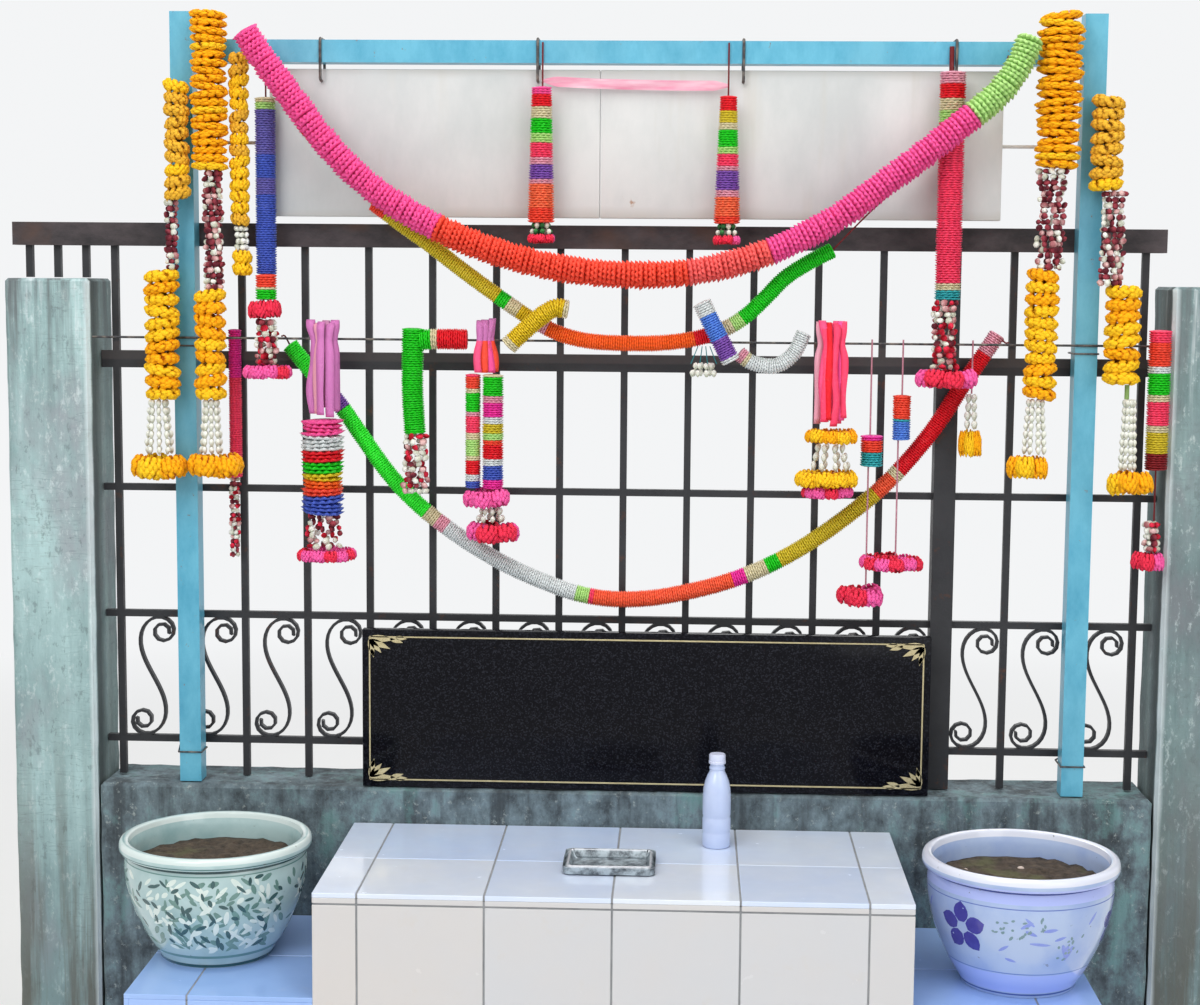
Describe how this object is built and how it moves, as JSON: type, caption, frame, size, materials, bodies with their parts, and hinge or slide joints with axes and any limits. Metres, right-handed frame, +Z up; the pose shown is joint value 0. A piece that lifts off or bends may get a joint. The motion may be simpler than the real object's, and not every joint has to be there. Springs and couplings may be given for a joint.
{
  "type": "roadside shrine altar with garland frame and fence",
  "caption": "Tiled offering altar before a low wall with piers, iron fence, steel frame with a bare sign board, plaque, pots and flower garlands.",
  "frame": {"origin": "on the ground at the middle of the footprint", "axes": "+Z up, +X to the right seen from the front, the altar's front faces -Y"},
  "size_m": [2.15, 0.57, 2.005],
  "materials": {
    "pier_render": "weathered limewash",
    "wall_cement": "dark mossy cement",
    "masonry_core": "rough mortar",
    "altar_tile": "glazed",
    "ledge_tile": "glazed",
    "granite": "polished",
    "fence_iron": "black paint, worn",
    "rail_iron": "weathered",
    "frame_paint": "light blue gloss paint",
    "wire": "dull",
    "sign_paint": "white paint, stained",
    "celadon_glaze": "glazed",
    "blue_white_glaze": "glazed",
    "soil": "loose soil",
    "bottle_plastic": "cloudy plastic",
    "tray_metal": "dark enamel",
    "ruffled_ribbon": "ruffled plastic ribbon",
    "marigold": "threaded flower heads",
    "mixed_garland": "threaded ribbon rings and beads"
  },
  "bodies": {
    "root": {"left_pier": "pier_render", "right_pier": "pier_render", "low_wall": "wall_cement", "altar_block": "masonry_core", "altar_top_tiling": "altar_tile", "altar_front_tiling": "altar_tile", "altar_side_tiling": "altar_tile", "left_ledge": "masonry_core", "right_ledge": "masonry_core", "left_ledge_tiling": "ledge_tile", "right_ledge_tiling": "ledge_tile", "name_plaque": "granite", "fence_top_rail": "rail_iron", "fence_post": "fence_iron", "fence_wide_panel": "fence_iron", "fence_narrow_panel": "fence_iron", "pier_top_pickets": "fence_iron", "left_frame_post": "frame_paint", "right_frame_post": "frame_paint", "frame_beam": "frame_paint", "post_ties": "wire", "garland_wire": "wire", "sign_board": "sign_paint", "sign_hooks": "wire", "sign_side_ties": "wire", "left_pot": "celadon_glaze", "right_pot": "blue_white_glaze", "pot_soil": "soil", "bottle": "bottle_plastic", "bottle_cap": "bottle_plastic", "offering_tray": "tray_metal", "upper_swag": "ruffled_ribbon", "middle_swag": "ruffled_ribbon", "lower_swag": "ruffled_ribbon", "left_outer_garland": "marigold", "left_inner_garland": "marigold", "right_inner_garland": "marigold", "right_outer_garland": "marigold", "left_blue_garland": "mixed_garland", "right_red_garland": "mixed_garland", "sign_garlands": "mixed_garland", "ribbon_bunches": "mixed_garland", "looped_tubes": "mixed_garland", "small_strands": "mixed_garland"}
  },
  "joints": []
}
